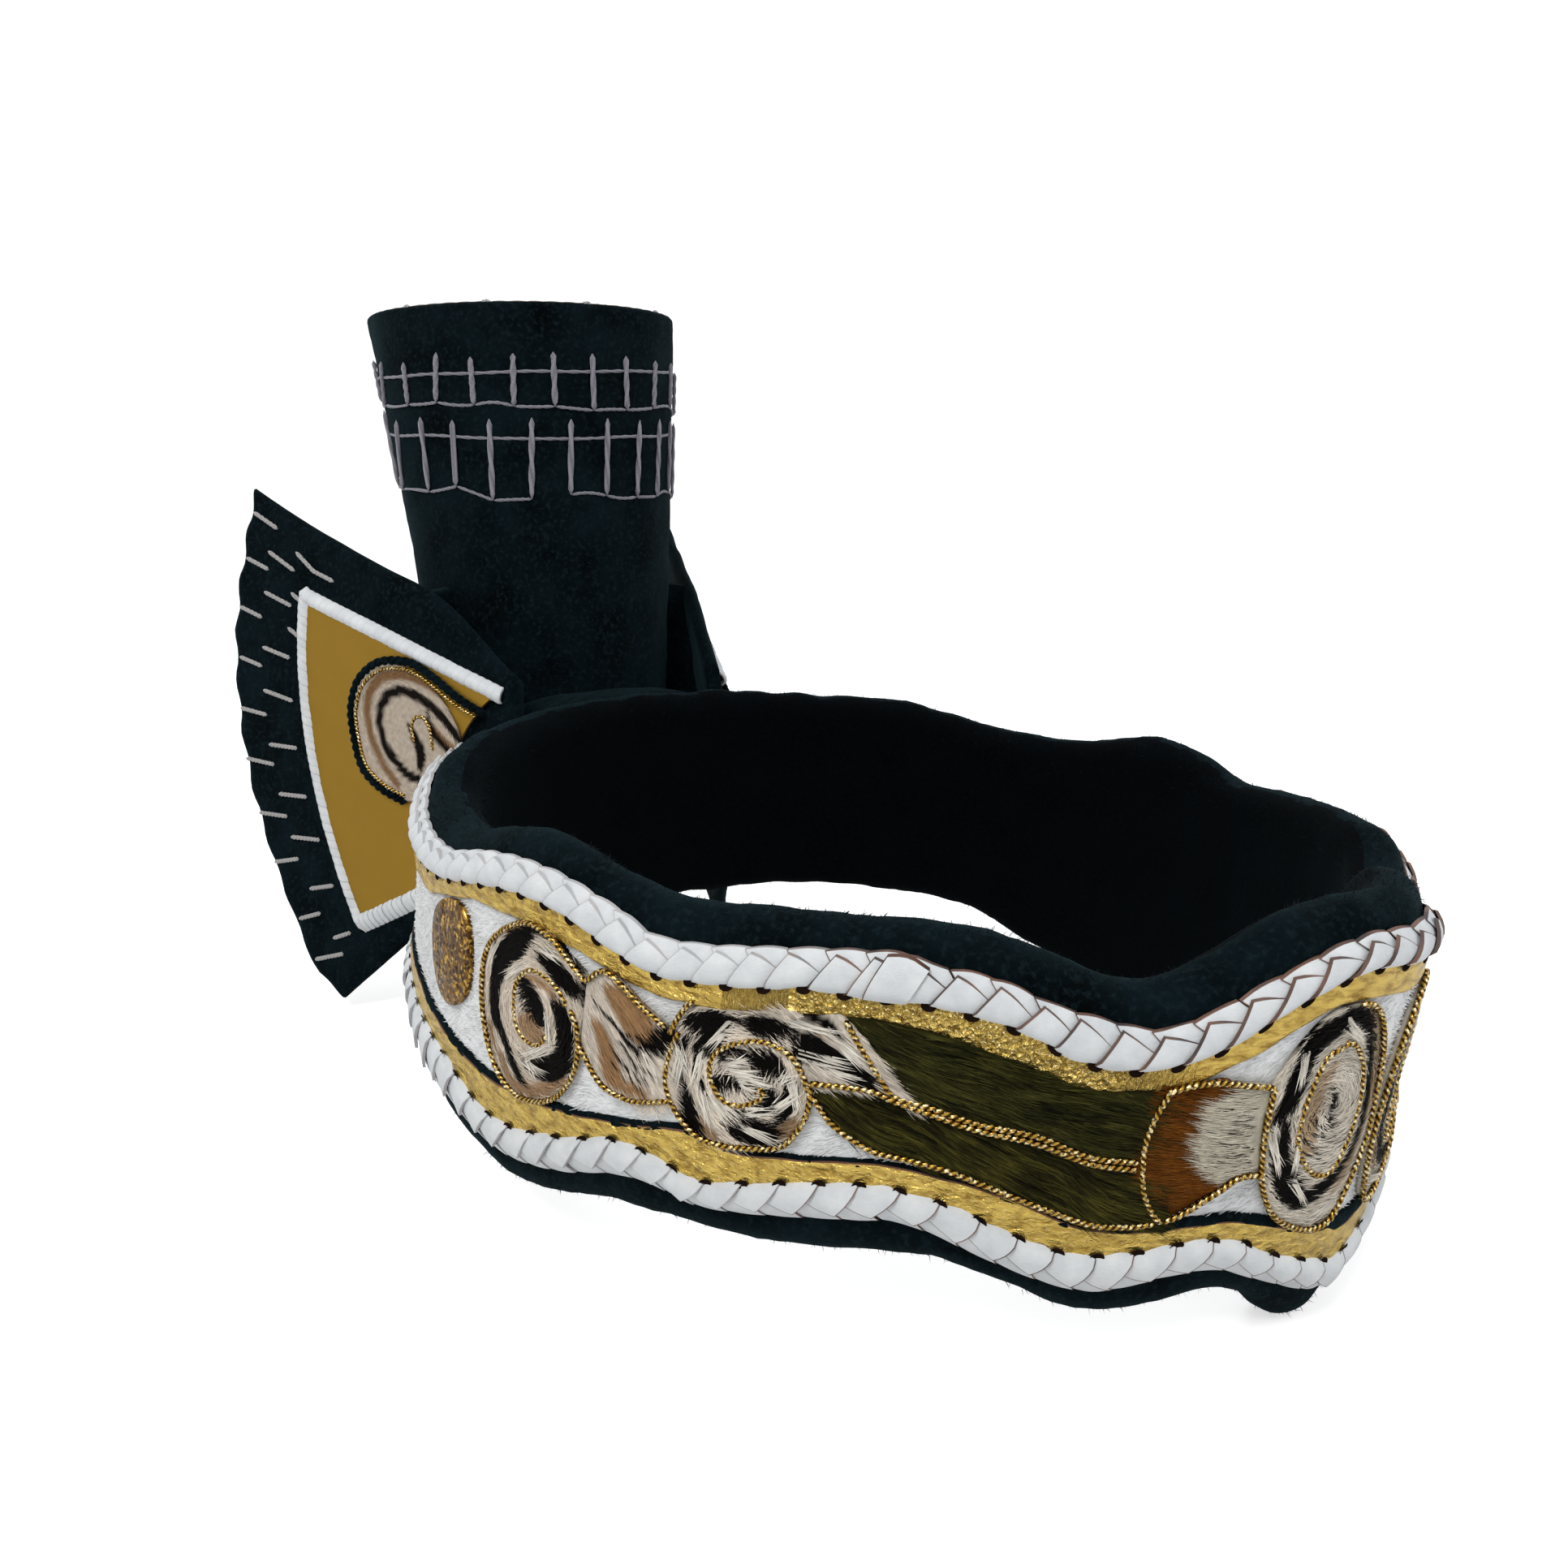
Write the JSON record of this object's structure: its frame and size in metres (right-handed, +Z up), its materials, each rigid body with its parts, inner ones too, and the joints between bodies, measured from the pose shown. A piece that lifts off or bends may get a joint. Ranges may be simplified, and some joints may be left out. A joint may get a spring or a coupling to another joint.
{
  "type": "aztec headdress",
  "caption": "Padded velvet head ring with a fur and gilt leather panel round its outside, and an open feather tube between velvet fans at its back.",
  "frame": {"origin": "bottom centre of the object's box, on the surface it stands on", "axes": "front of the ring towards -Y, the feather tube towards +Y, the wearer's left towards +X, +Z up"},
  "size_m": [0.193, 0.3136, 0.1894],
  "materials": {
    "velvet": "short black pile with a cold sheen",
    "white_hide": "soft white hide with a fine nap",
    "gold_leather": "crinkled metallic gilt leather",
    "white_lacing": "matte white leather lace",
    "gold_glitter": "coarse gold and brown glitter",
    "striped_fur": "short fur striped cream and dark brown",
    "tan_fur": "short tan fur with dark flecks",
    "olive_fur": "short olive green fur",
    "rust_fur": "short rust brown fur",
    "cream_fur": "short speckled cream fur"
  },
  "bodies": {
    "root": {"head_ring": "velvet", "panel_ground": "white_hide", "gold_border_top": "gold_leather", "gold_border_bottom": "gold_leather", "braid_top": "white_lacing", "braid_bottom": "white_lacing", "back_knot": "velvet", "feather_tube": "velvet", "gold_oval_right": "gold_glitter", "gold_oval_left": "gold_glitter", "scroll_a_right": "striped_fur", "scroll_a_left": "striped_fur", "scroll_b_right": "striped_fur", "scroll_b_left": "striped_fur", "scroll_c_right": "striped_fur", "scroll_c_left": "striped_fur", "link_fur_right": "tan_fur", "link_fur_left": "tan_fur", "leaf_fur_right": "striped_fur", "leaf_fur_left": "striped_fur", "green_upper_right": "olive_fur", "green_upper_left": "olive_fur", "green_lower_right": "olive_fur", "green_lower_left": "olive_fur", "rust_fur_right": "rust_fur", "rust_fur_left": "rust_fur", "cream_fur_right": "cream_fur", "cream_fur_left": "cream_fur", "fan_right": "velvet", "fan_left": "velvet", "fan_gold_right": "gold_leather", "fan_gold_left": "gold_leather", "fan_braid_right": "white_lacing", "fan_braid_left": "white_lacing", "fan_scroll_right": "striped_fur", "fan_scroll_left": "striped_fur"}
  },
  "joints": []
}
